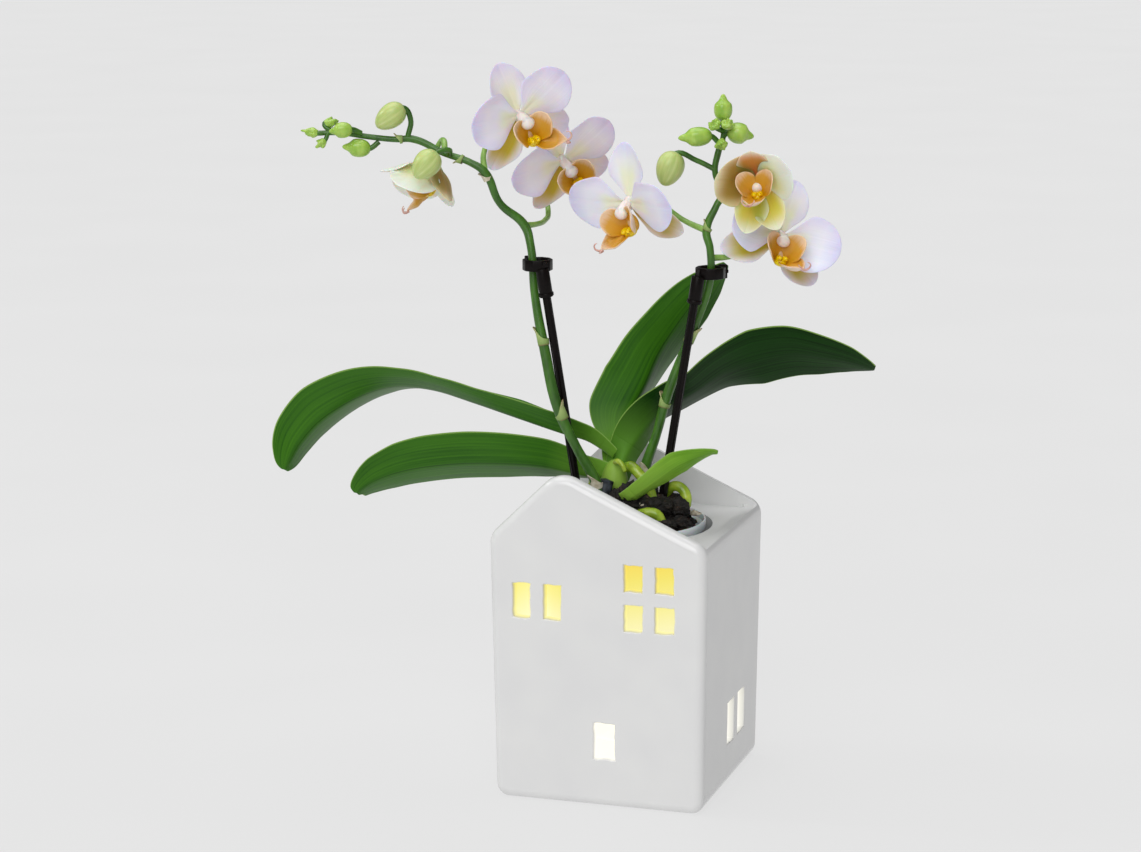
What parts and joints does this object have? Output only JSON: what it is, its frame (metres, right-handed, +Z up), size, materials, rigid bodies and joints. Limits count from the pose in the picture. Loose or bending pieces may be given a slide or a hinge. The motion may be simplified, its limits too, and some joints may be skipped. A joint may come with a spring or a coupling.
{
  "type": "potted moth orchid",
  "caption": "Mini moth orchid with two flower spikes in a clear grow pot, standing in a white ceramic house-shaped lantern pot with cut-out windows",
  "frame": {"origin": "centre of the pot's flat underside", "axes": "+Z up along the plant, the gabled front of the house looks along -Y, +X to the right seen from the front"},
  "size_m": [0.2533, 0.1104, 0.3284],
  "materials": {
    "white_glaze": "gloss white glaze, fired over a slip-cast body",
    "lamp_body": "satin cream plastic",
    "lamp_flame": "glowing warm plastic flame",
    "clear_plastic": "thin translucent bluish plastic",
    "bark_mix": "dark damp bark and moss",
    "root_green": "smooth fleshy roots and leaf bases",
    "leaf_green": "glossy fleshy leaf",
    "stem_green": "smooth waxy stem",
    "petal_white": "soft satin petal",
    "lip_amber": "waxy amber lip",
    "black_plastic": "moulded black plastic"
  },
  "bodies": {
    "root": {"bark_mix": "bark_mix", "bloom_1": "petal_white", "bloom_2": "petal_white", "bloom_3": "petal_white", "bloom_4": "petal_white", "bloom_5": "petal_white", "bloom_6": "petal_white", "clip_left": "black_plastic", "clip_right": "black_plastic", "crown_and_roots": "root_green", "grow_pot": "clear_plastic", "house_pot": "white_glaze", "leaf_1": "leaf_green", "leaf_2": "leaf_green", "leaf_3": "leaf_green", "leaf_4": "leaf_green", "leaf_5": "leaf_green", "lip_1": "lip_amber", "lip_2": "lip_amber", "lip_3": "lip_amber", "lip_4": "lip_amber", "lip_5": "lip_amber", "lip_6": "lip_amber", "spike_left": "stem_green", "spike_right": "stem_green", "stick_left": "black_plastic", "stick_right": "black_plastic", "tealight_body": "lamp_body", "tealight_flame": "lamp_flame"}
  },
  "joints": []
}
